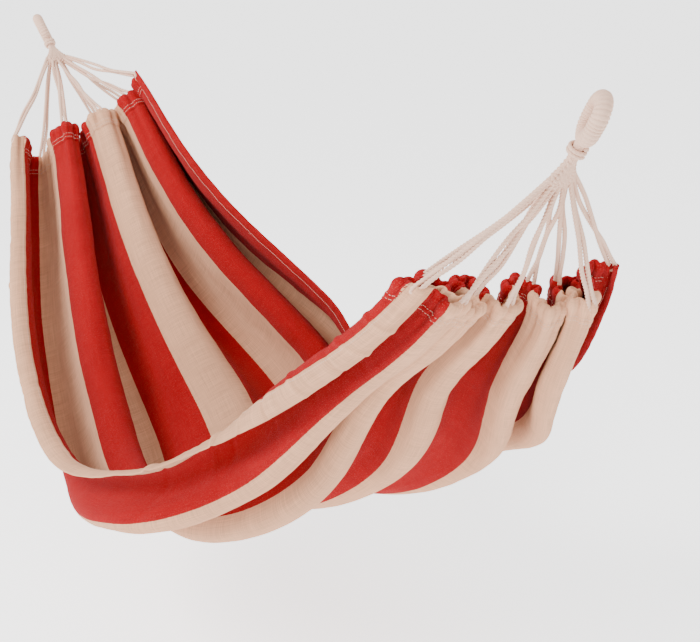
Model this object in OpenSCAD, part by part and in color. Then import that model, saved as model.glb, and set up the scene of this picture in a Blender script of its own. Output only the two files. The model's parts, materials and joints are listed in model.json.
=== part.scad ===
// Striped cloth hammock, hanging open between two hooks.
// The origin is the seat of the head eye on its hook, +X runs to the foot eye and +Z is up.

/* [Hanging] */
// Distance between the two hooks
span = 1800; // [1790:5:1810]
// Lean of the head eye from plumb, in degrees
head_lean = 47; // [44:1:50]
// Lean of the foot eye from plumb, in degrees
foot_lean = 27; // [24:1:30]
// Turn of the head eye about its own length, in degrees
head_turn = 30; // [0:1:40]
// Turn of the foot eye about its own length, in degrees
foot_turn = 42; // [30:1:45]

/* [Eyes] */
// Radius of the served limb of an eye
limb_r = 13; // [12:0.5:14]
// Radius of the cord bundle inside the serving
bundle_r = 9; // [8:0.5:10]
// Radius of the eye's round ends, at the middle of the limb
eye_bend_r = 21; // [20:0.5:23]
// Straight length of an eye's limbs
eye_straight = 14; // [12:1:18]
// Radius of the cord wound round the collar
collar_cord_r = 3; // [2.5:0.25:3.5]
// Turns of cord in the collar
collar_turns = 3; // [2:1:4]

/* [Plait] */
// Length of the knotted plait below the collar
plait_h = 42; // [36:1:46]
// Width of the plait at its lower edge
plait_w = 58; // [56:1:62]
// Thickness of the plait
plait_d = 18; // [16:1:22]

/* [Cords] */
// Radius of one strand of a suspension cord
strand_r = 3.1; // [2.8:0.1:3.1]

/* [Cloth] */
// Length of the cloth, from end to end
cloth_l = 1950; // [1940:5:1960]
// Width of the cloth, from edge to edge
cloth_w = 1500; // [1490:5:1510]
// Thickness of the woven cloth
cloth_t = 3; // [2.5:0.25:4]
// Thickness of a folded and sewn hem
hem_t = 5; // [4.5:0.25:6]
// Width of the near side hem
near_hem = 45; // [40:1:50]
// Width of the far side hem
far_hem = 25; // [20:1:30]
// Depth of an end hem
end_hem = 50; // [45:1:55]
// Height of a row of stitching above its hem
stitch_h = 1; // [0.5:0.25:1.5]

/* [Folds] */
// Swing of the gathers at the head end, in degrees
head_gather = 112; // [108:1:114]
// Swing of the gathers at the foot end, in degrees
foot_gather = 106; // [102:1:109]
// Reach of the head gathers along the cloth, as a fraction of its length
head_reach = 0.6; // [0.55:0.01:0.63]
// Reach of the foot gathers along the cloth, as a fraction of its length
foot_reach = 0.5; // [0.45:0.01:0.54]

/* [Hidden] */

red = "firebrick";
cream = "wheat";
rope = "linen";

// Stations along the cloth, as fractions of its length, and the form of the cloth at each.
stations = [0, 0.2, 0.4, 0.55, 0.7, 0.85, 1];
slope = [-49, -44, -32, -7, 37, 57, 72];
roll = [38, 34, 34, 10, -1, -16, -17];
cup = [7, 15, 29, 55, 30, -33, -45];
skew = [23, 21, 19, 12, 13, 14, 4];
curl = [5, 7, 10, 11, 8, -1, -7];
side_shift = [-9, -40, -25, -45, 76, 56, 17];
rise = [29, 14, -1, 17, 67, 94, 34];
drape = [-25, -34, -18, -9, 14, 41, 53];
tilt = [-3, -4, -1, 6, 6, 3, 0];
end_x = 244;
end_z = -244;
// The head gathers lean towards the far side, as shares of their swing.
fold_lean = 0.18;
fold_turn = 0.22;
// The side hems turn up beside the gathers, and the near side tucks under in the middle.
near_ease = 0.25;
near_lip = 50;
far_lip = 80;
near_tuck = 30;

// Places of the suspension cords across the cloth, as fractions of its width.
head_places = [0.01, 0.125, 0.25, 0.375, 0.5, 0.625, 0.75, 0.875, 0.99];
foot_places = [0.02, 0.14, 0.23, 0.36, 0.5, 0.61, 0.74, 0.87, 0.985];

// Eye, measured down its own axis from the seat on the hook.
bend_z = limb_r - eye_bend_r;
eye_foot_z = bend_z - eye_straight - eye_bend_r;
collar_top_z = eye_foot_z - limb_r;
collar_end_z = collar_top_z - 2 * collar_cord_r * collar_turns;
neck_r = 8;
neck_z = collar_end_z - neck_r - 1;
plait_end_z = neck_z - plait_h;
// The cords leave the plait's lower edge on an arc, fanned evenly about its middle.
fan_half = 45;
fan_r = (plait_w / 2 - 6) / sin(fan_half);

// Value of a list of station values at the fraction u, on a smooth curve through them.
function span_of(u) = min(len(stations) - 2, max([for (i = [0 : len(stations) - 2]) stations[i] <= u ? i : 0]));
function lean_at(v, i) = let (a = max(i - 1, 0), b = min(i + 1, len(stations) - 1))
    (v[b] - v[a]) / (stations[b] - stations[a]);
function along(v, u) = let (
        i = span_of(u),
        h = stations[i + 1] - stations[i],
        x = (u - stations[i]) / h
    ) (2 * x * x * x - 3 * x * x + 1) * v[i] + (x * x * x - 2 * x * x + x) * h * lean_at(v, i)
    + (3 * x * x - 2 * x * x * x) * v[i + 1] + (x * x * x - x * x) * h * lean_at(v, i + 1);

// Centre line of the cloth in the plane of the hooks, as a chain of short steps.
steps = 160;
centre = [for (i = 0, x = end_x, z = end_z; i <= steps;
        x = x + cloth_l / steps * cos(along(slope, (i + 0.5) / steps)),
        z = z + cloth_l / steps * sin(along(slope, (i + 0.5) / steps)), i = i + 1) [x, z]];
function centre_at(u) = let (k = min(floor(u * steps), steps - 1), f = u * steps - k)
    centre[k] * (1 - f) + centre[k + 1] * f;

// A rib is the cloth cut across at the fraction u: [sideways, up from the centre line].
function gather_at(u) = [head_gather * exp(-pow(u / head_reach, 1.75)),
    foot_gather * exp(-pow((1 - u) / foot_reach, 1.8))];
function hill(x, middle, width) = exp(-pow((x - middle) / width, 2));
function turn(u, t, g) = let (s = 2 * t - 1, eased = g[0] * (1 - near_ease * hill(t, 0.055, 0.045)))
    along(roll, u) + along(cup, u) * s + along(skew, u) * (s * s - 0.33) + along(curl, u) * s * s * s
    - eased * (sin(1440 * t) - fold_lean * cos(2880 * t) + fold_turn) + g[1] * sin(2000 * (t - 0.5))
    + near_lip * hill(t, 0, 0.02) * g[0] / head_gather + far_lip * hill(t, 0.97, 0.05) * g[1] / foot_gather
    - near_tuck * hill(t, 0.08, 0.05) * hill(u, 0.5, 0.16);
rib_steps = 160;
function rib(u) = let (
        g = gather_at(u),
        d = cloth_w / rib_steps,
        path = [for (i = 0, y = 0, n = 0; i <= rib_steps;
            y = y + d * cos(turn(u, (i + 0.5) / rib_steps, g)),
            n = n + d * sin(turn(u, (i + 0.5) / rib_steps, g)), i = i + 1) [y, n]],
        mean = [for (p = path) 1] * path / len(path),
        place = [along(side_shift, u), along(rise, u)] - mean
    ) [for (p = path) p + place];

// Point of the cloth's middle surface, on rib r at the fractions u and t.
function point_on(r, u, t) = let (
        k = min(floor(t * rib_steps), rib_steps - 1),
        f = t * rib_steps - k,
        p = r[k] * (1 - f) + r[k + 1] * f,
        c = centre_at(u),
        a = along(slope, u),
        b = a + 90 - along(tilt, u),
        d = along(drape, u) * pow(2 * t - 1, 2)
    ) [c[0] + p[1] * cos(b) + d * cos(a), p[0], c[1] + p[1] * sin(b) + d * sin(a)];

// Lines of the cloth's grid: along its length and across its width, as fractions.
stitch_w = 2;
end_lines = [0, 34, 34 + stitch_w, 43, 43 + stitch_w, end_hem];
near_lines = [0, near_hem - 7, near_hem - 7 + stitch_w, near_hem];
far_lines = [0, far_hem - 7, far_hem - 7 + stitch_w, far_hem];
bed_rows = 20;
bed_columns = 56;
bed_length = cloth_l - 2 * end_hem;
bed_width = cloth_w - near_hem - far_hem;
length_lines = concat(
    end_lines / cloth_l,
    [for (i = [1 : bed_rows - 1]) (end_hem + bed_length * i / bed_rows) / cloth_l],
    [for (i = [5 : -1 : 0]) 1 - end_lines[i] / cloth_l]);
width_lines = concat(
    near_lines / cloth_w,
    [for (j = [1 : bed_columns - 1]) (near_hem + bed_width * j / bed_columns) / cloth_w],
    [for (j = [3 : -1 : 0]) 1 - far_lines[j] / cloth_w]);
last_row = len(length_lines) - 1;
last_column = len(width_lines) - 1;
ribs = [for (u = length_lines) rib(u)];
grid = [for (i = [0 : last_row]) [for (t = width_lines) point_on(ribs[i], length_lines[i], t)]];
function unit(v) = v / norm(v);
function across_at(i, t) = point_on(ribs[i], length_lines[i], min(t + 1 / rib_steps, 1))
    - point_on(ribs[i], length_lines[i], max(t - 1 / rib_steps, 0));
inward = [for (i = [0 : last_row]) [for (j = [0 : last_column])
    unit(cross(grid[min(i + 1, last_row)][j] - grid[max(i - 1, 0)][j], across_at(i, width_lines[j])))]];

// A block of the cloth between grid lines, from low to high off its middle surface.
module cloth_block(rows, columns, low, high) {
    m = rows[1] - rows[0] + 1;
    n = columns[1] - columns[0] + 1;
    function id(i, j, k) = (i * n + j) * 2 + k;
    points = [for (i = [rows[0] : rows[1]]) for (j = [columns[0] : columns[1]])
        for (k = [low, high]) grid[i][j] + inward[i][j] * k];
    top = [for (i = [0 : m - 2]) for (j = [0 : n - 2])
        each [[id(i, j, 1), id(i, j + 1, 1), id(i + 1, j, 1)],
            [id(i, j + 1, 1), id(i + 1, j + 1, 1), id(i + 1, j, 1)]]];
    bottom = [for (i = [0 : m - 2]) for (j = [0 : n - 2])
        each [[id(i, j, 0), id(i + 1, j, 0), id(i, j + 1, 0)],
            [id(i, j + 1, 0), id(i + 1, j, 0), id(i + 1, j + 1, 0)]]];
    ends = [for (j = [0 : n - 2]) each [
        [id(0, j, 0), id(0, j + 1, 0), id(0, j, 1)],
        [id(0, j + 1, 0), id(0, j + 1, 1), id(0, j, 1)],
        [id(m - 1, j, 0), id(m - 1, j, 1), id(m - 1, j + 1, 0)],
        [id(m - 1, j + 1, 0), id(m - 1, j, 1), id(m - 1, j + 1, 1)]]];
    sides = [for (i = [0 : m - 2]) each [
        [id(i, 0, 0), id(i, 0, 1), id(i + 1, 0, 0)],
        [id(i + 1, 0, 0), id(i, 0, 1), id(i + 1, 0, 1)],
        [id(i, n - 1, 0), id(i + 1, n - 1, 0), id(i, n - 1, 1)],
        [id(i + 1, n - 1, 0), id(i + 1, n - 1, 1), id(i, n - 1, 1)]]];
    polyhedron(points, concat(top, bottom, ends, sides), convexity = 10);
}

// A row of stitching shows on both faces of its hem.
module stitch_row(rows, columns) {
    cloth_block(rows, columns, hem_t / 2, hem_t / 2 + stitch_h);
    cloth_block(rows, columns, -hem_t / 2 - stitch_h, -hem_t / 2);
}

module bed_cloth() {
    color(red) cloth_block([5, last_row - 5], [3, last_column - 3], -cloth_t / 2, cloth_t / 2);
}

module near_side_hem() {
    color(cream) cloth_block([0, last_row], [0, 3], -hem_t / 2, hem_t / 2);
}

module far_side_hem() {
    color(red) cloth_block([0, last_row], [last_column - 3, last_column], -hem_t / 2, hem_t / 2);
}

module near_side_stitching() {
    color(cream) stitch_row([5, last_row - 5], [1, 2]);
}

module far_side_stitching() {
    color(cream) stitch_row([5, last_row - 5], [last_column - 2, last_column - 1]);
}

module head_end_hem() {
    color(red) cloth_block([0, 5], [3, last_column - 3], -hem_t / 2, hem_t / 2);
}

module foot_end_hem() {
    color(red) cloth_block([last_row - 5, last_row], [3, last_column - 3], -hem_t / 2, hem_t / 2);
}

module head_end_stitching() {
    color(cream) for (i = [1, 3]) stitch_row([i, i + 1], [3, last_column - 3]);
}

module foot_end_stitching() {
    color(cream) for (i = [1, 3]) stitch_row([last_row - i - 1, last_row - i], [3, last_column - 3]);
}

// An oval loop of round section about the eye's opening, hanging from its seat.
module eye_loop(r) {
    for (x = [-eye_bend_r, eye_bend_r])
        translate([x, 0, bend_z - eye_straight]) cylinder(h = eye_straight, r = r, $fn = 48);
    translate([0, 0, bend_z]) rotate([90, 0, 0]) half_bend(r);
    translate([0, 0, bend_z - eye_straight]) rotate([-90, 0, 0]) half_bend(r);
}

module half_bend(r) {
    rotate_extrude(angle = 180, $fn = 64) translate([eye_bend_r, 0]) circle(r, $fn = 48);
}

module eye_tail(r) {
    translate([0, 0, collar_end_z]) cylinder(h = eye_foot_z - collar_end_z, r = r, $fn = 48);
}

module eye_core() {
    color(rope) {
        eye_loop(bundle_r);
        eye_tail(bundle_r);
    }
}

module eye_serving() {
    color(rope) difference() {
        eye_loop(limb_r);
        eye_loop(bundle_r);
        eye_tail(bundle_r);
    }
}

module collar() {
    color(rope) for (k = [0 : collar_turns - 1])
        translate([0, 0, collar_top_z - collar_cord_r * (2 * k + 1)])
            rotate_extrude($fn = 64) translate([bundle_r + collar_cord_r, 0]) circle(collar_cord_r, $fn = 24);
}

// The plait fans out below a round neck, which turns inside the collar's mouth.
module plait() {
    color(rope) {
        translate([0, 0, neck_z]) sphere(neck_r, $fn = 32);
        hull() {
            translate([0, 0, neck_z - 10]) cylinder(h = 4, r = 7, $fn = 32);
            for (k = [0 : 2 : cord_count - 1])
                translate(fan_point(k) + [0, 0, 4]) scale([1, 0.7, 1]) sphere(plait_d / 2, $fn = 32);
        }
    }
}

// The two ends hang from their own hooks, each leaning towards the cloth.
module at_head() {
    rotate([0, -head_lean, 0]) children();
}

module at_foot() {
    translate([span, 0, 0]) rotate([0, foot_lean, 0]) children();
}

module turned(angle) {
    rotate([0, 0, -angle]) children();
}

// A suspension cord is two strands side by side, from the plait into the end hem.
strand_gap = 0.15;
cord_count = len(head_places);
hem_entry = 12;
function fan_point(k) = let (a = fan_half * (2 * k / (cord_count - 1) - 1))
    [0, fan_r * sin(a), plait_end_z + fan_r * (1 - cos(a))];
function plait_point(k, p, lean) = let (f = fan_point(k))
    p + [sin(lean) * f[2], f[1], cos(lean) * f[2]];

module strand(a, b) {
    d = b - a;
    translate(a) rotate([0, acos(d[2] / norm(d)), atan2(d[1], d[0])]) cylinder(h = norm(d), r = strand_r, $fn = 32);
}

module cord(a, b) {
    across = unit(cross(b - a, [0, 1, 0])) * (strand_r + strand_gap);
    color(rope) for (s = [-1, 1]) strand(a + s * across, b + s * across);
}

module head_cord(k) {
    u = hem_entry / cloth_l;
    cord(plait_point(k, [0, 0, 0], -head_lean), point_on(rib(u), u, head_places[k]));
}

module foot_cord(k) {
    u = 1 - hem_entry / cloth_l;
    cord(plait_point(k, [span, 0, 0], foot_lean), point_on(rib(u), u, foot_places[k]));
}

at_head() turned(head_turn) eye_core();  // head_eye_core
at_head() turned(head_turn) eye_serving();  // head_eye_serving
at_head() collar();  // head_collar
at_head() plait();  // head_plait
head_cord(0);  // head_cord_1
head_cord(1);  // head_cord_2
head_cord(2);  // head_cord_3
head_cord(3);  // head_cord_4
head_cord(4);  // head_cord_5
head_cord(5);  // head_cord_6
head_cord(6);  // head_cord_7
head_cord(7);  // head_cord_8
head_cord(8);  // head_cord_9
head_end_hem();
head_end_stitching();
bed_cloth();
near_side_hem();
near_side_stitching();
far_side_hem();
far_side_stitching();
foot_end_hem();
foot_end_stitching();
foot_cord(0);  // foot_cord_1
foot_cord(1);  // foot_cord_2
foot_cord(2);  // foot_cord_3
foot_cord(3);  // foot_cord_4
foot_cord(4);  // foot_cord_5
foot_cord(5);  // foot_cord_6
foot_cord(6);  // foot_cord_7
foot_cord(7);  // foot_cord_8
foot_cord(8);  // foot_cord_9
at_foot() plait();  // foot_plait
at_foot() collar();  // foot_collar
at_foot() turned(foot_turn) eye_serving();  // foot_eye_serving
at_foot() turned(foot_turn) eye_core();  // foot_eye_core
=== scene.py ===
# %% [markdown]
# # A striped cloth hammock
# The hammock is one big woven cloth, gathered at both ends onto fans of cord, and each fan is
# knotted into a plait that hangs from a rope eye. The plain CAD model gives the frame: where the
# eyes sit, how the cloth hangs and how it swings. Everything below dresses that frame.

# %% Load the frame
import json
import math

import bpy
import numpy as np
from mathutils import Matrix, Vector, noise


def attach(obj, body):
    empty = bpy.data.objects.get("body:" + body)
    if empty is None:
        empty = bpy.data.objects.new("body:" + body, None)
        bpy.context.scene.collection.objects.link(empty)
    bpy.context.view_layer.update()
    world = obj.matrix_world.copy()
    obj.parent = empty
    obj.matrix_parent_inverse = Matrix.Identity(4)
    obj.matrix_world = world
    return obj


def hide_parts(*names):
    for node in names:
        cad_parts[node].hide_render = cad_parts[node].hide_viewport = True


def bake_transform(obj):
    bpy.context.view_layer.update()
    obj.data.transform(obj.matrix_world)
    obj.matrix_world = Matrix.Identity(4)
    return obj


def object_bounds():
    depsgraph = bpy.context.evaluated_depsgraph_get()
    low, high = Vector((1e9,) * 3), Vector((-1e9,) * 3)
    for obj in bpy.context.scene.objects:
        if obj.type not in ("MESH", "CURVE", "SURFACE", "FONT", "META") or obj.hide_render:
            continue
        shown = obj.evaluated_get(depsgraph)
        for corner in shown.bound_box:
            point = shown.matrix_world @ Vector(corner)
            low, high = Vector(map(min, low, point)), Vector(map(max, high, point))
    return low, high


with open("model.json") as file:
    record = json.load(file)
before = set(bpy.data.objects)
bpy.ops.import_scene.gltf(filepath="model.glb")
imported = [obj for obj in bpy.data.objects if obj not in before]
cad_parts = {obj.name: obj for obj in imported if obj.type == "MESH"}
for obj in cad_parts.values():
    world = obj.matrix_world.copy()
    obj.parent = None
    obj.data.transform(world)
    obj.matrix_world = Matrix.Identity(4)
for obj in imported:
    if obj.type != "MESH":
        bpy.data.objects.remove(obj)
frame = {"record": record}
cad_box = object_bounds()
mounts = {m["name"]: Vector(m["pos_m"]) for m in frame["record"]["mounts"]}
head_seat, foot_seat = mounts["head_hook_seat"], mounts["foot_hook_seat"]
print("hooks are", round((foot_seat - head_seat).length, 3), "m apart")

# %% [markdown]
# ## The camera
# The camera comes first, so that every later step can be judged through it. It stands near the foot
# end, a little above the eyes, and looks along the cloth. A small shift frames the hammock without
# turning the camera, which keeps the uprights upright.

# %% Camera
def aim(azimuth, elevation):
    a, e = math.radians(azimuth), math.radians(elevation)
    return Vector((math.sin(a) * math.cos(e), -math.cos(a) * math.cos(e), math.sin(e)))


camera_data = bpy.data.cameras.new("camera")
camera = bpy.data.objects.new("camera", camera_data)
bpy.context.scene.collection.objects.link(camera)
camera.location = (2.628, -1.128, 0.213)
camera.rotation_mode = "QUATERNION"
camera.rotation_quaternion = (-aim(51.10, 23.05)).to_track_quat("-Z", "Y")
camera_data.lens = 50.9
camera_data.shift_x, camera_data.shift_y = 0.025, 0.053
camera_data.clip_end = 50
bpy.context.scene.camera = camera
print("camera", [round(x, 2) for x in camera.location])

# %% [markdown]
# ## Making pieces
# Every piece is built from points and faces in code. One helper turns them into a smooth-shaded
# object and gives it its material; attach, defined above, ties a piece to the body it moves with.
# A grid of points is the shape that both cloth and cord need, so a second helper makes the faces of a grid.

# %% Piece helpers
def grid_faces(rows, columns, closed=False):
    wrap = columns if closed else columns - 1
    i, j = np.meshgrid(np.arange(rows - 1), np.arange(wrap), indexing="ij")
    k = (j + 1) % columns
    corners = [i * columns + j, i * columns + k, (i + 1) * columns + k, (i + 1) * columns + j]
    return np.stack(corners, -1).reshape(-1, 4)


def make_piece(name, points, faces, material, attributes=None):
    mesh = bpy.data.meshes.new(name)
    mesh.from_pydata(np.asarray(points).tolist(), [], np.asarray(faces).tolist() if len(faces) else [])
    mesh.update()
    mesh.shade_smooth()
    for key, values in (attributes or {}).items():
        layer = mesh.attributes.new(key, "FLOAT_VECTOR", "POINT")
        layer.data.foreach_set("vector", np.asarray(values, np.float32).ravel())
    mesh.materials.append(material)
    piece = bpy.data.objects.new(name, mesh)
    bpy.context.scene.collection.objects.link(piece)
    return piece


# %% [markdown]
# ## Finishes
# Woven cotton never has one flat colour. Each yarn takes the dye a little differently, so the cloth
# carries fine streaks both ways, and the crossing yarns leave a small, even relief. The cloth pieces
# carry an attribute called weave: how far along and how far across the flat cloth each point lies, in
# metres. Stripes, streaks and weave all read it, so they bend and gather with the cloth.

# %% Node helpers
class Nodes:
    """A short way to write a material's nodes."""

    def __init__(self, name):
        self.material = bpy.data.materials.new(name)
        self.material.use_nodes = True
        self.tree = self.material.node_tree
        self.tree.nodes.clear()
        self.shader = self.tree.nodes.new("ShaderNodeBsdfPrincipled")
        output = self.tree.nodes.new("ShaderNodeOutputMaterial")
        self.tree.links.new(self.shader.outputs["BSDF"], output.inputs["Surface"])

    def put(self, socket, value):
        if isinstance(value, bpy.types.NodeSocket):
            self.tree.links.new(value, socket)
        else:
            socket.default_value = value

    def math(self, kind, a, b=0.0, c=0.0):
        node = self.tree.nodes.new("ShaderNodeMath")
        node.operation = kind
        for socket, value in zip(node.inputs, (a, b, c)):
            self.put(socket, value)
        return node.outputs[0]

    def attribute(self, name):
        node = self.tree.nodes.new("ShaderNodeAttribute")
        node.attribute_name = name
        return node.outputs["Vector"]

    def split(self, vector):
        node = self.tree.nodes.new("ShaderNodeSeparateXYZ")
        self.put(node.inputs[0], vector)
        return node.outputs

    def scaled(self, vector, factors):
        node = self.tree.nodes.new("ShaderNodeVectorMath")
        node.operation = "MULTIPLY"
        self.put(node.inputs[0], vector)
        node.inputs[1].default_value = factors
        return node.outputs[0]

    def noise(self, vector, scale, detail=3.0, roughness=0.55):
        node = self.tree.nodes.new("ShaderNodeTexNoise")
        self.put(node.inputs["Vector"], vector)
        for key, value in (("Scale", scale), ("Detail", detail), ("Roughness", roughness)):
            node.inputs[key].default_value = value
        return node.outputs["Fac"]

    def mix(self, factor, a, b, kind="MIX"):
        node = self.tree.nodes.new("ShaderNodeMix")
        node.data_type = "RGBA"
        node.blend_type = kind
        self.put(node.inputs[0], factor)
        self.put(node.inputs[6], a)
        self.put(node.inputs[7], b)
        return node.outputs[2]

    def spread(self, value, low, high):
        node = self.tree.nodes.new("ShaderNodeMapRange")
        self.put(node.inputs["Value"], value)
        node.inputs["To Min"].default_value = low
        node.inputs["To Max"].default_value = high
        return node.outputs[0]

    def bump(self, height, distance, strength=1.0, under=None):
        node = self.tree.nodes.new("ShaderNodeBump")
        self.put(node.inputs["Height"], height)
        node.inputs["Distance"].default_value = distance
        node.inputs["Strength"].default_value = strength
        if under is not None:
            self.put(node.inputs["Normal"], under)
        return node.outputs[0]


# %% Woven cotton
RED = (0.31, 0.0, 0.003, 1)
CREAM = (0.66, 0.35, 0.205, 1)
PALE = (0.7, 0.28, 0.21, 1)
fleck_share, fleck_strength = 0.63, 0.16
stripe_w, near_hem, far_hem = 0.13, 0.045, 0.025
cloth_l, cloth_w = 1.95, 1.5


def woven_cotton(name, colour=None):
    """Plain weave: stripes of red and cream, or one colour all over."""
    n = Nodes(name)
    weave = n.attribute("weave")
    along, across, _ = n.split(weave)
    wander = n.math("MULTIPLY", n.math("SUBTRACT", n.noise(weave, 260, 1.0), 0.5), 0.0016)
    if colour is None:
        stripe = n.math("DIVIDE", n.math("SUBTRACT", n.math("ADD", across, wander), near_hem), stripe_w)
        odd = n.math("MODULO", n.math("FLOOR", stripe), 2.0)
        is_cream = n.math("MAXIMUM", odd, n.math("LESS_THAN", stripe, 0.0))
        base = n.mix(is_cream, RED, CREAM)
    else:
        base = colour
    warp = n.noise(n.scaled(weave, (14, 620, 1)), 1.0, 2.0)
    weft = n.noise(n.scaled(weave, (620, 14, 1)), 1.0, 2.0)
    cloudy = n.noise(weave, 9, 3.0)
    streak = n.math("ADD", n.spread(warp, -0.5, 0.5), n.spread(weft, -0.5, 0.5))
    light = n.math("ADD", n.math("MULTIPLY", streak, 0.6), n.spread(cloudy, 0.88, 1.12))
    fleck = n.math("GREATER_THAN", n.noise(n.scaled(weave, (420, 900, 1)), 1.0, 1.0), fleck_share)
    base = n.mix(n.math("MULTIPLY", fleck, fleck_strength), base, PALE)
    shade = n.tree.nodes.new("ShaderNodeCombineXYZ")
    for socket in shade.inputs:
        n.put(socket, light)
    n.put(n.shader.inputs["Base Color"], n.mix(1.0, base, shade.outputs[0], "MULTIPLY"))
    yarn = 2 * math.pi / 0.0021
    over = n.math("MULTIPLY", n.math("SINE", n.math("MULTIPLY", along, yarn)),
                  n.math("SINE", n.math("MULTIPLY", across, yarn)))
    slub = n.math("ADD", over, n.math("MULTIPLY", streak, 1.6))
    crumple = n.bump(n.noise(weave, 48, 4.0), 0.0022, 0.55)
    n.put(n.shader.inputs["Normal"], n.bump(slub, 0.0006, 0.7, crumple))
    n.shader.inputs["Roughness"].default_value = 0.92
    n.shader.inputs["Specular IOR Level"].default_value = 0.1
    n.shader.inputs["Sheen Weight"].default_value = 0.04
    n.shader.inputs["Sheen Roughness"].default_value = 0.5
    return n.material


cloth_finish = woven_cotton("striped cotton")
cream_finish = woven_cotton("cream cotton", CREAM)
red_finish = woven_cotton("red cotton", RED)
print("cloth finishes", cloth_finish.name, cream_finish.name, red_finish.name)

# %% [markdown]
# Cord is cotton too, but its fibres run round the twist. The twist itself is modelled, so the finish
# only adds the fine fibre and the soft, slightly uneven colour of undyed yarn.

# %% Cotton cord and thread
def cotton_cord(name, colour, fibre, depth):
    n = Nodes(name)
    place = n.tree.nodes.new("ShaderNodeTexCoord").outputs["Object"]
    tone = n.spread(n.noise(place, 26, 3.0), 0.88, 1.1)
    fine = n.spread(n.noise(place, fibre, 2.0), 0.82, 1.14)
    shade = n.tree.nodes.new("ShaderNodeCombineXYZ")
    for socket in shade.inputs:
        n.put(socket, n.math("MULTIPLY", tone, fine))
    n.put(n.shader.inputs["Base Color"], n.mix(1.0, colour, shade.outputs[0], "MULTIPLY"))
    n.put(n.shader.inputs["Normal"], n.bump(n.noise(place, fibre, 3.0), depth, 0.6))
    n.shader.inputs["Roughness"].default_value = 0.9
    n.shader.inputs["Specular IOR Level"].default_value = 0.2
    n.shader.inputs["Sheen Weight"].default_value = 0.1
    return n.material


cord_finish = cotton_cord("cotton cord", (0.72, 0.47, 0.35, 1), 900, 0.0008)
thread_finish = cotton_cord("sewing thread", (0.66, 0.48, 0.38, 1), 1800, 0.0002)
print("cord finishes", cord_finish.name, thread_finish.name)

# %% [markdown]
# ## How the cloth hangs
# A hanging cloth doesn't stretch: it only bends. So the shape is written as bends. A centre line runs
# from end to end, and at each place along it a rib crosses the cloth. A rib is drawn by walking from
# edge to edge in equal steps and turning a little at each one. Whatever the turns are, the rib keeps
# the cloth's true width, and a wave in the turns becomes a gather.

# %% Hanging shape
stations = np.array([0, 0.2, 0.4, 0.55, 0.7, 0.85, 1])
slope = np.radians([-49, -44, -32, -7, 37, 57, 72])
roll = np.radians([38, 34, 34, 10, -1, -16, -17])
cup = np.radians([7, 15, 29, 55, 30, -33, -45])
skew = np.radians([23, 21, 19, 12, 13, 14, 4])
curl = np.radians([5, 7, 10, 11, 8, -1, -7])
side_shift = np.array([-9, -40, -25, -45, 76, 56, 17]) / 1000
rise = np.array([29, 14, -1, 17, 67, 94, 34]) / 1000
drape = np.array([-25, -34, -18, -9, 14, 41, 53]) / 1000
tilt = np.radians([-3, -4, -1, 6, 6, 3, 0])
cloth_start = np.array([0.244, -0.245])
head_gather, head_reach = math.radians(112), 0.6
foot_gather, foot_reach = math.radians(106), 0.5


def along(values, u):
    """A smooth curve through the values at the stations."""
    u = np.asarray(u, float)
    last = len(stations) - 1
    lower, upper = np.maximum(np.arange(last + 1) - 1, 0), np.minimum(np.arange(last + 1) + 1, last)
    lean = (values[upper] - values[lower]) / (stations[upper] - stations[lower])
    k = np.clip(np.searchsorted(stations, u, side="right") - 1, 0, last - 1)
    h = stations[k + 1] - stations[k]
    x = (u - stations[k]) / h
    return ((2 * x**3 - 3 * x**2 + 1) * values[k] + (x**3 - 2 * x**2 + x) * h * lean[k]
            + (3 * x**2 - 2 * x**3) * values[k + 1] + (x**3 - x**2) * h * lean[k + 1])


fine = np.linspace(0, 1, 801)
fine_slope = along(slope, (fine[1:] + fine[:-1]) / 2)
centre_x = cloth_start[0] + np.concatenate([[0], np.cumsum(np.cos(fine_slope))]) * cloth_l / 800
centre_z = cloth_start[1] + np.concatenate([[0], np.cumsum(np.sin(fine_slope))]) * cloth_l / 800


near_ease = 0.25
fold_lean, fold_turn, foot_fold_pitch = 0.18, 0.22, 0.18
near_lip, far_lip, near_tuck = np.radians([50, 80, 30])


def bump_at(x, centre, width):
    return np.exp(-(((x - centre) / width) ** 2))


def turns(u, t):
    """How far a rib has turned from level, at the fractions u along and t across."""
    s = 2 * t - 1
    head = head_gather * np.exp(-(u / head_reach) ** 1.75)
    foot = foot_gather * np.exp(-((1 - u) / foot_reach) ** 1.8)
    wide = along(roll, u) + along(cup, u) * s + along(skew, u) * (s * s - 0.33) + along(curl, u) * s**3
    eased_head = head * (1 - near_ease * bump_at(t, 0.055, 0.045))
    head_folds = eased_head * (np.sin(8 * np.pi * t) - fold_lean * np.cos(16 * np.pi * t) + fold_turn)
    folds = foot * np.sin(2 * np.pi * (t - 0.5) / foot_fold_pitch) - head_folds
    lips = (near_lip * bump_at(t, 0, 0.02) * head / head_gather
            + far_lip * bump_at(t, 0.97, 0.05) * foot / foot_gather
            - near_tuck * bump_at(t, 0.08, 0.05) * bump_at(u, 0.5, 0.16))
    return wide + folds + lips + puckers(u, t)


def puckers(u, t):
    """Small gathers that crowd round the cords and die out within a hand's width."""
    near_head = 0.55 * np.exp(-(u / 0.05) ** 1.1) + 0.16 * np.exp(-(u / 0.22) ** 1.3)
    near_foot = 0.6 * np.exp(-((1 - u) / 0.05) ** 1.1) + 0.18 * np.exp(-((1 - u) / 0.2) ** 1.3)
    head = near_head * np.sin(2 * np.pi * 37 * t + 2.2 * np.sin(11 * t) + 9 * u)
    foot = near_foot * np.sin(2 * np.pi * 35 * t + 2.5 * np.sin(13 * t + 1) - 9 * u)
    return head + foot


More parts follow.
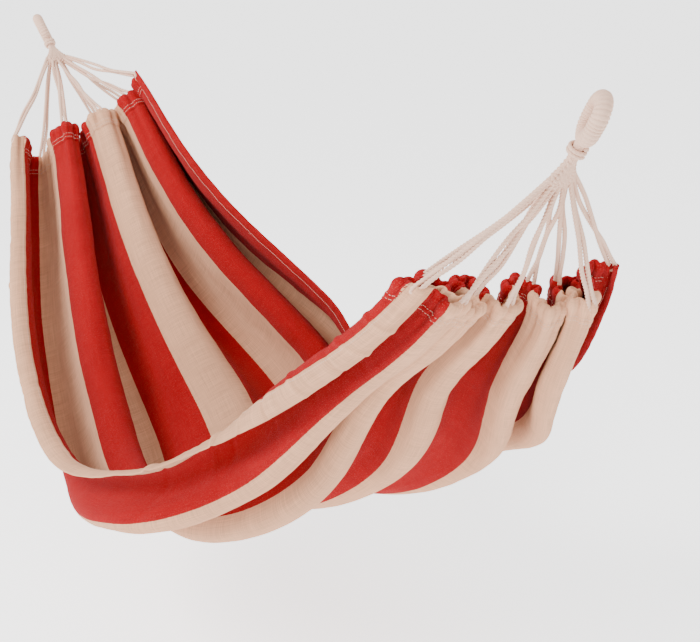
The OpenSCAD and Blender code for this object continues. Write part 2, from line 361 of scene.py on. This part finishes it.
def cloth_points(u, t):
    """Points of the cloth's middle surface on a grid of rows u and columns t."""
    steps = 1800
    walk = (np.arange(steps) + 0.5) / steps
    out = np.empty((len(u), len(t), 3))
    for i, row in enumerate(np.asarray(u, float)):
        turn = turns(np.full(steps, row), walk)
        side = np.concatenate([[0], np.cumsum(np.cos(turn))]) * cloth_w / steps
        up = np.concatenate([[0], np.cumsum(np.sin(turn))]) * cloth_w / steps
        side += float(along(side_shift, row)) - side.mean()
        up += float(along(rise, row)) - up.mean()
        y = np.interp(t * steps, np.arange(steps + 1), side)
        n = np.interp(t * steps, np.arange(steps + 1), up)
        a = float(along(slope, row))
        b = a + math.pi / 2 - float(along(tilt, row))
        d = float(along(drape, row)) * (2 * t - 1) ** 2
        x0, z0 = np.interp(row, fine, centre_x), np.interp(row, fine, centre_z)
        x = x0 + n * math.cos(b) + d * math.cos(a)
        z = z0 + n * math.sin(b) + d * math.sin(a)
        out[i] = np.stack([x, y, z], -1)
    return out


def grid_normals(points):
    du = np.gradient(points, axis=0)
    dt = np.gradient(points, axis=1)
    n = np.cross(du, dt)
    return n / np.linalg.norm(n, axis=-1, keepdims=True)


# %% [markdown]
# ## Sheets of cloth
# Every cloth piece is cut from the same hanging shape, so the pieces meet exactly. A sheet is closed
# with two faces and an edge, as real cloth is, and it may be thicker in places. Each point also moves
# a little in and out along the cloth's normal, so that no large area is perfectly smooth, and close
# to the cords the cloth crumples.

# %% Sheet maker
def soft_relief(u, t):
    """Slack waves, small dents and the crumpling near the cords, in metres, along the normal."""
    flat = np.stack(np.meshgrid(u * cloth_l, t * cloth_w, indexing="ij"), -1)
    height = np.array([0.0032 * noise.noise(Vector((a * 5.0, b * 9.0, 3.1)))
                       + 0.0017 * noise.noise(Vector((a * 14.0, b * 22.0, 7.7)))
                       + 0.0007 * noise.noise(Vector((a * 45.0, b * 60.0, 1.3)))
                       for a, b in flat.reshape(-1, 2)]).reshape(len(u), len(t))
    from_end = np.minimum(u, 1 - u)[:, None] * cloth_l
    wander = np.array([6 * noise.noise(Vector((x * 7, 2.0, 0.5))) for x in t * cloth_w])[None]
    crowd = np.sin(2 * np.pi * t[None] * cloth_w / 0.019 + wander + 9 * from_end)
    crumple = 0.0020 * np.exp(-(from_end / 0.045) ** 1.5) + 0.0006 * np.exp(-(from_end / 0.16) ** 2)
    return height + crowd * crumple


creases = [(0.585, 0.9), (0.64, -0.5), (0.69, 1.0), (0.735, 0.7), (0.78, -0.9), (0.83, 1.0), (0.875, -0.7),
           (0.91, 1.0), (0.945, 0.8), (0.42, 0.4), (0.33, -0.4), (0.2, 0.5)]


def hem_creases(u, t):
    """Sharp little creases that start at the near hem and fade into the cloth."""
    out = np.zeros((len(u), len(t)))
    across = t[None] * cloth_w
    for k, (place, strength) in enumerate(creases):
        slant = 0.3 * math.sin(2.4 * k)
        off = (u[:, None] - place) * cloth_l - slant * across
        width = 0.006 + 0.02 * across
        out += 0.0042 * strength * np.exp(-((off / width) ** 2)) * np.exp(-((across / 0.13) ** 2))
    return out


def sheet_of(name, u, t, half, material, extra=None):
    """A closed sheet over the rows u and columns t, of the given half thickness."""
    middle = cloth_points(u, t)
    relief = soft_relief(u, t) + hem_creases(u, t)
    if extra is not None:
        relief = relief + extra(u, t)
    middle = middle + grid_normals(middle) * relief[..., None]
    normal = grid_normals(middle)
    rows, columns = middle.shape[:2]
    half = np.broadcast_to(np.asarray(half, float), (rows, columns))
    lift = normal * half[..., None]
    points = np.concatenate([(middle + lift).reshape(-1, 3), (middle - lift).reshape(-1, 3)])
    upper = grid_faces(rows, columns)
    count = rows * columns
    rim = np.concatenate([np.arange(columns), np.arange(1, rows) * columns + columns - 1,
                          (rows - 1) * columns + np.arange(columns - 2, -1, -1),
                          np.arange(rows - 2, 0, -1) * columns])
    after = np.roll(rim, -1)
    edge = np.stack([rim, rim + count, after + count, after], -1)
    weave = np.stack(np.meshgrid(u * cloth_l, t * cloth_w, [0.0], indexing="ij"), -1).reshape(-1, 3)
    piece = make_piece(name, points, np.concatenate([upper, upper[:, ::-1] + count, edge]), material,
                       {"weave": np.concatenate([weave, weave])})
    return piece, {"u": u, "t": t, "middle": middle, "normal": normal, "half": half}


def on_sheet(sheet, u, t):
    """Points, normals and half thickness of a sheet at the fractions u and t."""
    i = np.interp(u, sheet["u"], np.arange(len(sheet["u"])))
    j = np.interp(t, sheet["t"], np.arange(len(sheet["t"])))
    i0 = np.minimum(i.astype(int), len(sheet["u"]) - 2)
    j0 = np.minimum(j.astype(int), len(sheet["t"]) - 2)
    a, b = (i - i0)[:, None], (j - j0)[:, None]
    out = []
    for key in ("middle", "normal", "half"):
        grid = sheet[key] if sheet[key].ndim == 3 else sheet[key][..., None]
        value = ((1 - a) * (1 - b) * grid[i0, j0] + a * (1 - b) * grid[i0 + 1, j0]
                 + (1 - a) * b * grid[i0, j0 + 1] + a * b * grid[i0 + 1, j0 + 1])
        out.append(value)
    return out


# %% [markdown]
# ## The bed
# The bed is one sheet of cloth, about a millimetre thick. Its rows crowd together near the ends, where
# the folds are small, and open out in the middle. Its edges run on inside the hems.

# %% Bed cloth
near_t, far_t = near_hem / cloth_w, 1 - far_hem / cloth_w
end_hem = 0.05
end_u = end_hem / cloth_l
row_count, column_count = ((330, 440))
spread_rows = 0.5 - 0.5 * np.cos(np.pi * np.linspace(0, 1, row_count))
rows = 0.012 + 0.976 * (0.65 * spread_rows + 0.35 * np.linspace(0, 1, row_count))
columns = np.linspace(near_t * 0.6, 1 - (1 - far_t) * 0.6, column_count)
bed, _ = sheet_of("bed_cloth_sheet", rows, columns, 0.0006, cloth_finish)
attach(bed, "hammock")
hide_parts("bed_cloth")
print("bed", len(bed.data.polygons), "faces")

# %% [markdown]
# ## Side hems
# Along each side the cloth is folded over and sewn down, so the band is about three times as thick as
# the bed, round at the fold and slightly puffed between the fold and the seam. The seam draws the
# cloth in, and that leaves the small ripples that run across a hem.

# %% Side hems
def round_edge(x, reach):
    x = np.clip(x / reach, 0, 1)
    return np.sqrt(np.clip(1 - (1 - x) ** 2, 0, 1))


def side_hem(name, node, width, at_start, material):
    x = np.concatenate([[0, 0.0004, 0.001, 0.002, 0.0035], np.linspace(0.006, width - 0.0015, 14), [width]])
    puff = 0.0019 + 0.0011 * np.sin(np.pi * np.clip(x / (width - 0.007), 0, 1))
    half = puff * round_edge(x + 0.0001, 0.0035) * np.clip(0.75 + (width - x) / 0.006, 0.75, 1)
    t = x / cloth_w
    u = np.linspace(0, 1, 760)
    if not at_start:
        t, half = 1 - t[::-1], half[::-1]

    def ripples(u, t):
        out = np.array([noise.noise(Vector((a * cloth_l * 62, b * cloth_w * 16, 5.5))) for a in u for b in t])
        return 0.0013 * out.reshape(len(u), len(t))

    piece, grid = sheet_of(name, u, t, half[None], material, ripples)
    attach(piece, "hammock")
    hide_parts(node)
    return piece, grid


near_band, near_grid = side_hem("near_side_hem_band", "near_side_hem", near_hem, True,
                                cream_finish)
far_band, far_grid = side_hem("far_side_hem_band", "far_side_hem", far_hem, False,
                              red_finish)
print("side hems", near_band.name, far_band.name)

# %% [markdown]
# ## End hems
# At each end the cloth is turned back and sewn with two rows of stitching, which leaves a channel for
# the cords. The channel is full and round, and the cloth is crowded along it, so it crumples into
# fat little puckers between the cords.

# %% End hems
def end_hem_band(name, node, at_start):
    x = np.concatenate([[0, 0.0005, 0.0012, 0.0025, 0.0045, 0.007], np.linspace(0.0095, end_hem, 22)])
    channel = 0.0046 * np.exp(-(((x - 0.013) / 0.0125) ** 2))
    between = 0.0012 * np.exp(-(((x - 0.0385) / 0.0032) ** 2))
    half = (0.0019 + channel + between) * round_edge(x + 0.0001, 0.007)
    u = x / cloth_l
    t = np.linspace(near_t, far_t, 980)
    if not at_start:
        u, half = 1 - u[::-1], half[::-1]

    def puckered(u, t):
        from_end = np.minimum(u, 1 - u)[:, None] * cloth_l
        seed = 4.2 if at_start else 8.6
        fat = np.array([noise.noise(Vector((b * cloth_w * 38, a * cloth_l * 18, seed)))
                        for a in u for b in t])
        return 0.0036 * fat.reshape(len(u), len(t)) * np.clip(1.15 - from_end / end_hem, 0.15, 1)

    piece, grid = sheet_of(name, u, t, half[:, None], cloth_finish, puckered)
    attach(piece, "hammock")
    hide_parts(node)
    return piece, grid


head_band, head_grid = end_hem_band("head_end_hem_band", "head_end_hem", True)
foot_band, foot_grid = end_hem_band("foot_end_hem_band", "foot_end_hem", False)
print("end hems", head_band.name, foot_band.name)

# %% [markdown]
# ## Stitches
# A seam is a row of short threads, each a little sunk at both ends. One stitch is made once, as a
# small rounded bar, and then placed many times along the seam on both faces of the hem. Placing the
# copies as one array of points is much faster than making hundreds of objects.

# %% Stitches
def stitches(name, node, grid, seams, pitch=0.0046, length=0.0034, radius=0.00055):
    """Seams are (u, t) paths on a sheet, and every path gets stitches on both faces."""
    ring = np.linspace(0, 2 * math.pi, 6, endpoint=False)
    along_bar = [(-1.0, 0.3, -0.6), (-0.75, 0.8, -0.1), (0.0, 1.0, 0.25), (0.75, 0.8, -0.1), (1.0, 0.3, -0.6)]
    bar = np.array([(x * length / 2, radius * r * math.cos(q), radius * (r * math.sin(q) + lift))
                    for x, r, lift in along_bar for q in ring])
    bar_faces = grid_faces(len(along_bar), 6, closed=True)
    points, faces, start = [], [], 0
    for u, t in seams:
        place, normal, half = on_sheet(grid, u, t)
        gaps = np.linalg.norm(np.diff(place, axis=0), axis=1)
        reach = np.concatenate([[0], np.cumsum(gaps)])
        at = np.arange(pitch, reach[-1] - pitch, pitch)
        place, normal, half = (np.stack([np.interp(at, reach, v) for v in values.T], -1)
                               for values in (place, normal, half))
        normal /= np.linalg.norm(normal, axis=1, keepdims=True)
        ahead = np.gradient(place, axis=0)
        ahead /= np.linalg.norm(ahead, axis=1, keepdims=True)
        for face in (1, -1):
            out = normal * face
            side = np.cross(out, ahead)
            base = place + out * half
            p = (base[:, None] + bar[None, :, 0:1] * ahead[:, None] + bar[None, :, 1:2] * side[:, None]
                 + bar[None, :, 2:3] * out[:, None])
            points.append(p.reshape(-1, 3))
            offset = start + np.arange(len(at))[:, None, None] * len(bar)
            faces.append((bar_faces[None] + offset).reshape(-1, 4))
            start += len(at) * len(bar)
    piece = make_piece(name, np.concatenate(points), np.concatenate(faces), thread_finish)
    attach(piece, "hammock")
    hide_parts(node)
    return piece


along_side, along_end = np.linspace(end_u, 1 - end_u, 900), np.linspace(near_t, far_t, 1400)
seam_in = 0.006
near_seam = [(along_side, np.full(900, (near_hem - seam_in) / cloth_w))]
far_seam = [(along_side, np.full(900, 1 - (far_hem - seam_in) / cloth_w))]
end_seams = [0.0345, 0.0435]
stitches("near_side_stitches", "near_side_stitching", near_grid, near_seam)
stitches("far_side_stitches", "far_side_stitching", far_grid, far_seam)
stitches("head_end_stitches", "head_end_stitching", head_grid,
         [(np.full(1400, x / cloth_l), along_end) for x in end_seams])
stitches("foot_end_stitches", "foot_end_stitching", foot_grid,
         [(np.full(1400, 1 - x / cloth_l), along_end) for x in end_seams])
print("stitched both sides and both ends")

# %% [markdown]
# ## Laid cord
# Cord is three plies twisted together. A tube whose section has three lobes, turned a little at each
# ring, gives that twist as real shape, and it catches the light the way a laid cord does. The section
# needs a direction to start from, and carrying one direction along the route without spinning keeps
# the twist even round bends.

# %% Cord maker
def resample(path, step):
    path = np.asarray(path, float)
    gaps = np.linalg.norm(np.diff(path, axis=0), axis=1)
    reach = np.concatenate([[0], np.cumsum(gaps)])
    count = max(int(reach[-1] / step), 4)
    at = np.linspace(0, reach[-1], count + 1)
    return np.stack([np.interp(at, reach, path[:, k]) for k in range(3)], -1), at


def smooth_route(points, count=24):
    """A smooth curve through the given points."""
    p = np.asarray(points, float)
    p = np.concatenate([[2 * p[0] - p[1]], p, [2 * p[-1] - p[-2]]])
    out = []
    for a, b, c, d in zip(p[:-3], p[1:-2], p[2:-1], p[3:]):
        for x in np.linspace(0, 1, count, endpoint=False):
            out.append(0.5 * (2 * b + (c - a) * x + (2 * a - 5 * b + 4 * c - d) * x**2
                              + (3 * b - 3 * c + d - a) * x**3))
    return np.array(out + [p[-2]])


def carried_frames(path):
    """A side direction at each point of a path, carried along without spinning."""
    ahead = np.gradient(path, axis=0)
    ahead /= np.linalg.norm(ahead, axis=1, keepdims=True)
    first = np.cross(ahead[0], (0, 0, 1) if abs(ahead[0][2]) < 0.9 else (1, 0, 0))
    side = [first / np.linalg.norm(first)]
    for direction in ahead[1:]:
        s = side[-1] - direction * (side[-1] @ direction)
        side.append(s / np.linalg.norm(s))
    side = np.array(side)
    return side, np.cross(ahead, side)


def laid_tube(path, radius, lay, step, plies=3, sides=18, depth=0.3, phase=0.0, taper=True):
    """Points and faces of a twisted cord along a path. lay is the length of one full twist."""
    path, at = resample(path, step)
    side, up = carried_frames(path)
    angle = np.linspace(0, 2 * math.pi, sides, endpoint=False)
    twist = angle[None] - 2 * math.pi * at[:, None] / lay - phase
    lobes = 1 - depth + depth * np.abs(np.cos(plies / 2 * twist))
    r = radius * lobes
    if taper:
        edge = np.minimum(at, at[-1] - at) / radius
        r = r * np.sqrt(np.clip(edge, 0.04, 1) * (2 - np.clip(edge, 0.04, 1)))[:, None]
    ring = (path[:, None] + r[..., None] * (np.cos(angle)[None, :, None] * side[:, None]
            + np.sin(angle)[None, :, None] * up[:, None]))
    count = len(path)
    faces = grid_faces(count, sides, closed=True).tolist()
    points = ring.reshape(-1, 3)
    faces.append(list(range(sides))[::-1])
    faces.append(list(range((count - 1) * sides, count * sides)))
    return points, faces


def cord_piece(name, tubes, material):
    """Several tubes as one piece."""
    points, faces, start = [], [], 0
    for p, f in tubes:
        points.append(p)
        faces += [[v + start for v in face] for face in f]
        start += len(p)
    mesh = bpy.data.meshes.new(name)
    mesh.from_pydata(np.concatenate(points).tolist(), [], faces)
    mesh.update()
    mesh.shade_smooth()
    mesh.materials.append(material)
    piece = bpy.data.objects.new(name, mesh)
    bpy.context.scene.collection.objects.link(piece)
    return piece


# %% [markdown]
# ## Where the eyes and plaits lie
# Each end has its own small frame: its origin is the seat on the hook, and its down direction leans
# towards the cloth. Eye, collar and plait are drawn upright in that frame and then set in place, so
# both ends share one set of measurements.

# %% End frames
def placed(end, local, turned=False):
    """Points of an end's own frame, set in the frame of the whole hammock."""
    local = np.asarray(local, float).reshape(-1, 3)
    x, y, z = local.T
    if turned:
        q = -math.radians(eye_turn[end])
        x, y = x * math.cos(q) - y * math.sin(q), x * math.sin(q) + y * math.cos(q)
    a = math.radians(lean[end])
    seat = np.array(head_seat if end == "head" else foot_seat)
    return seat + np.stack([x * math.cos(a) + z * math.sin(a), y, z * math.cos(a) - x * math.sin(a)], -1)


lean = {"head": -47, "foot": 27}
eye_turn = {"head": 30, "foot": 42}
limb_r, eye_bend_r, eye_straight = 0.013, 0.021, 0.014
bundle_r = 0.0088
collar_r, collar_tuck, turns_hidden = 0.0121, 0.004, 0.85
collar_cord_r, collar_turns = 0.003, 3
plait_h, plait_w, fan_half = 0.042, 0.058, math.radians(45)
bend_z = limb_r - eye_bend_r
eye_foot_z = bend_z - eye_straight - eye_bend_r
collar_top_z = eye_foot_z - limb_r
collar_end_z = collar_top_z - 2 * collar_cord_r * collar_turns
neck_z = collar_end_z - 0.009
plait_end_z = neck_z - plait_h
fan_r = (plait_w / 2 - 0.006) / math.sin(fan_half)
cord_count = 9
head_places = [0.01, 0.125, 0.25, 0.375, 0.5, 0.625, 0.75, 0.875, 0.99]
foot_places = [0.02, 0.14, 0.23, 0.36, 0.5, 0.61, 0.74, 0.87, 0.985]
print("plaits end", round(-plait_end_z, 3), "m below their hooks")

# %% [markdown]
# ## Suspension cords
# Each cord starts in the plait, runs to the end hem, passes through the channel and comes back beside
# itself. So one cord shows as two strands, and the pair turns round itself a little on the way. The
# strands are taut but not perfectly straight.

# %% Suspension cords
chance = np.random.default_rng(11)


def fan_point(k):
    q = fan_half * (2 * k / (cord_count - 1) - 1)
    return np.array([0, fan_r * math.sin(q), plait_end_z + fan_r * (1 - math.cos(q))])


def suspension_cord(end, k, grid, t):
    at_head = end == "head"
    start = placed(end, fan_point(k) + [0, 0, 0.004])[0]
    reach = 0.006 / cloth_w
    us = np.array([0.003, 0.012, 0.012, 0.003]) / cloth_l
    ts = np.clip(t + reach * np.array([-1, -0.6, 0.6, 1]), 0.0035, 0.9965)
    if not at_head:
        us = 1 - us
    hook, _, _ = on_sheet(grid, us, ts)
    middle = hook.mean(0)
    run = middle - start
    length = np.linalg.norm(run)
    run = run / length
    across = np.cross(run, (0, 1, 0))
    across /= np.linalg.norm(across)
    beside = np.cross(run, across)
    half_turns = chance.choice([0.5, 1.0, 1.5])
    first = math.atan2((hook[0] - hook[3]) @ beside, (hook[0] - hook[3]) @ across)
    wobble = chance.uniform(-0.003, 0.003, (2, 4, 2))
    sides = []
    for s, side in enumerate((1, -1)):
        pts = []
        for i, f in enumerate((0.0, 0.22, 0.45, 0.68, 0.87)):
            q = first - (1 - f) * math.pi * half_turns
            gap = 0.0036 if f > 0 else 0.003
            here = start + run * f * length + side * gap * (math.cos(q) * across + math.sin(q) * beside)
            if 0 < i < 4:
                here = here + wobble[s, i, 0] * across + wobble[s, i, 1] * beside
                here = here - np.array([0, 0, 0.004]) * math.sin(math.pi * f)
            pts.append(here)
        sides.append(pts)
    route = smooth_route(sides[0] + [hook[0], hook[1], hook[2], hook[3]] + sides[1][::-1], 12)
    total = np.linalg.norm(np.diff(route, axis=0), axis=1).sum()
    tube = laid_tube(route, 0.0039, 0.019, 0.0013, sides=18, depth=0.36)
    piece = cord_piece(f"{end}_cord_{k + 1}_laid", [tube], cord_finish)
    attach(piece, "hammock")
    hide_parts(f"{end}_cord_{k + 1}")
    return total


def whole_end(at_start):
    """The end of the cloth from edge to edge, to hook the cords on."""
    t = np.linspace(0, 1, 600)
    u = np.linspace(0, 0.02, 8)
    u = u if at_start else 1 - u[::-1]
    points = cloth_points(u, t)
    return {"u": u, "t": t, "middle": points, "normal": grid_normals(points), "half": np.zeros((8, 600))}


for end, places in (("head", head_places), ("foot", foot_places)):
    cloth_end = whole_end(end == "head")
    lengths = [suspension_cord(end, k, cloth_end, t) for k, t in enumerate(places)]
    print(end, "cords, out and back:", [round(x, 2) for x in lengths], "m")

# %% [markdown]
# ## Plaits
# In a flat plait every strand walks from side to side, turns at the edge and walks back. It goes over
# the strands that come the other way, then under the next. Its place across is a triangle wave, its
# place in depth is a cosine that changes sign at every crossing, and each walk carries a pair of cords.

# %% Plaits
def plait(end):
    tubes = []
    f = np.linspace(0, 1, 90)
    z = (plait_end_z - 0.002) * (1 - f) + (collar_end_z + 0.001) * f
    neck = np.clip((f - 0.22) / 0.6, 0, 1)
    half_width = 0.0225 * (1 - neck**0.85) + 0.0052 * neck**0.85
    for k in range(cord_count):
        p = (k + 0.25) / cord_count + 0.86 * f
        triangle = 2 * np.abs(2 * (p % 1) - 1) - 1
        y = half_width * np.clip(1.12 * triangle, -1, 1)
        arch = fan_r * (1 - np.sqrt(np.clip(1 - (y / fan_r) ** 2, 0, 1))) * np.clip(1 - 1.6 * f, 0, 1)
        over = np.cos(2 * math.pi * cord_count * p) * np.tanh(5 * np.sin(2 * math.pi * p))
        x = (0.0052 - 0.0012 * neck) * over
        path = np.stack([x, y, z + arch], -1)
        ahead = np.gradient(path, axis=0)
        ahead /= np.linalg.norm(ahead, axis=1, keepdims=True)
        beside = np.cross(ahead, (1, 0, 0))
        beside /= np.linalg.norm(beside, axis=1, keepdims=True)
        gap = (0.0027 - 0.0012 * neck)[:, None]
        for s in (1, -1):
            tubes.append(laid_tube(placed(end, path + s * gap * beside), 0.0030, 0.017, 0.0012,
                                   sides=12, depth=0.24, phase=k + s))
    piece = cord_piece(f"{end}_plait_knotted", tubes, cord_finish)
    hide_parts(f"{end}_plait")
    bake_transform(piece)
    return piece


for end in ("head", "foot"):
    print(plait(end).name)

# %% [markdown]
# ## Collars and eyes
# An eye is a bundle of cords bent into a loop and served: one cord is wound round it tightly, turn by
# turn. Seen from outside, a serving is a tube with a groove that runs round it like a thread on a
# bolt. So the eye is drawn as one closed tube whose radius rises and falls with that thread, and the
# grooves stay tight on the inside of the bend and open on the outside. The collar is a real winding.

# %% Collars and eyes
def loop_path(step):
    """Middle line of the eye's loop, from the foot of the loop round and back to it."""
    q = np.linspace(0, math.pi, max(int(math.pi * eye_bend_r / step), 8))
    low_z = bend_z - eye_straight
    right = [(eye_bend_r * math.sin(x), 0, low_z - eye_bend_r * math.cos(x)) for x in q[: len(q) // 2 + 1]]
    rise = [(eye_bend_r, 0, z) for z in np.arange(low_z + step, bend_z, step)]
    top = [(eye_bend_r * math.cos(x), 0, bend_z + eye_bend_r * math.sin(x)) for x in q]
    drop = [(-eye_bend_r, 0, z) for z in np.arange(bend_z - step, low_z, -step)]
    left = [(-x, 0, z) for x, _, z in right[::-1]]
    path, _ = resample(np.array(right + rise + top + drop + left), step)
    return path


def served_eye(end):
    path = loop_path(0.00045)
    gaps = np.linalg.norm(np.diff(path, axis=0, append=path[:1]), axis=1)
    at = np.concatenate([[0], np.cumsum(gaps[:-1])])
    turns_round = round(gaps.sum() / 0.0050)
    count, sides = len(path), 44
    ahead = np.roll(path, -1, 0) - np.roll(path, 1, 0)
    ahead /= np.linalg.norm(ahead, axis=1, keepdims=True)
    out = np.cross(ahead, (0, 1, 0))
    q = np.linspace(0, 2 * math.pi, sides, endpoint=False)
    thread = turns_round * 2 * math.pi * at[:, None] / gaps.sum() + q[None]
    wander = np.array([0.0004 * noise.noise(Vector((x * 90, 1.7, 0.3))) for x in at])[:, None]
    radius = 0.0106 + wander + 0.0023 * np.sqrt(np.abs(np.sin(thread / 2)))
    ring = path[:, None] + radius[..., None] * (np.cos(q)[None, :, None] * out[:, None]
                                                + np.sin(q)[None, :, None] * np.array([0, 1, 0.0]))
    i, j = np.meshgrid(np.arange(count), np.arange(sides), indexing="ij")
    i2, j2 = (i + 1) % count, (j + 1) % sides
    faces = np.stack([i * sides + j, i * sides + j2, i2 * sides + j2, i2 * sides + j], -1)
    piece = make_piece(f"{end}_eye_wound_serving", placed(end, ring, True), faces.reshape(-1, 4), cord_finish)
    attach(piece, f"{end}_eye")
    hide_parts(f"{end}_eye_serving")
    return piece


def eye_bundle(end):
    """The bundle inside the serving, and the tail of it that runs down through the collar."""
    loop = np.concatenate([loop_path(0.002), loop_path(0.002)[:2]])
    tail = np.array([(0, 0, eye_foot_z), (0, 0, (eye_foot_z + collar_end_z) / 2), (0, 0, collar_end_z)])
    tubes = [laid_tube(placed(end, path, True), bundle_r, 0.06, 0.002, plies=7, sides=28, depth=0.12,
                       taper=False) for path in (loop, tail)]
    piece = cord_piece(f"{end}_eye_bundle", tubes, cord_finish)
    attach(piece, f"{end}_eye")
    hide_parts(f"{end}_eye_core")


def collar(end):
    """Tight turns of cord round the neck of the eye, with both ends tucked in."""
    turns_made = collar_turns - turns_hidden
    q = np.linspace(0, turns_made * 2 * math.pi, 220)
    z = collar_top_z - collar_cord_r * (1 + q / math.pi)
    tuck_in = np.clip(1 - np.minimum(q, q[-1] - q) / 0.5, 0, 1)
    r = collar_r - collar_tuck * tuck_in
    path = np.stack([r * np.cos(q), r * np.sin(q), z], -1)
    tube = laid_tube(placed(end, path), 0.0032, 0.016, 0.0011, sides=14, depth=0.22)
    piece = cord_piece(f"{end}_collar_winding", [tube], cord_finish)
    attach(piece, f"{end}_eye")
    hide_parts(f"{end}_collar")


for end in ("head", "foot"):
    served_eye(end)
    eye_bundle(end)
    collar(end)
print("eyes and collars at both ends")

# %% [markdown]
# ## Floor and light
# A pale floor and a white surround keep the red and cream clean. One broad lamp stands to the left
# and in front, so the folds shade softly from left to right, and a weaker one opens up the far side.

# %% Floor, light and surroundings
low, high = cad_box
floor_z = low.z - 0.35
bpy.ops.mesh.primitive_plane_add(size=160, location=((low.x + high.x) / 2, 0, floor_z))
floor = bpy.context.object
floor.name = "floor"
pale = bpy.data.materials.new("pale floor")
pale.use_nodes = True
pale.node_tree.nodes["Principled BSDF"].inputs["Base Color"].default_value = (1, 1, 1, 1)
pale.node_tree.nodes["Principled BSDF"].inputs["Roughness"].default_value = 0.8
pale.node_tree.nodes["Principled BSDF"].inputs["Emission Color"].default_value = (1, 1, 1, 1)
pale.node_tree.nodes["Principled BSDF"].inputs["Emission Strength"].default_value = 1.6
floor.data.materials.append(pale)

world = bpy.data.worlds.new("studio")
world.use_nodes = True
world.node_tree.nodes["Background"].inputs["Color"].default_value = (1, 1, 1, 1)
world.node_tree.nodes["Background"].inputs["Strength"].default_value = 1.25
bpy.context.scene.world = world


def lamp(name, place, target, size, power):
    data = bpy.data.lights.new(name, "AREA")
    data.size, data.energy = size, power
    light = bpy.data.objects.new(name, data)
    bpy.context.scene.collection.objects.link(light)
    light.location = place
    light.rotation_mode = "QUATERNION"
    light.rotation_quaternion = (Vector(target) - Vector(place)).to_track_quat("-Z", "Y")
    return light


middle_of_bed = Vector(((low.x + high.x) / 2, 0, (low.z + high.z) / 2))
lamp("key", (0.6, -2.6, 1.8), middle_of_bed, 1.6, 170)
lamp("fill", (3.2, 1.5, 1.2), middle_of_bed, 2.0, 20)
print("lit from", 2, "lamps")
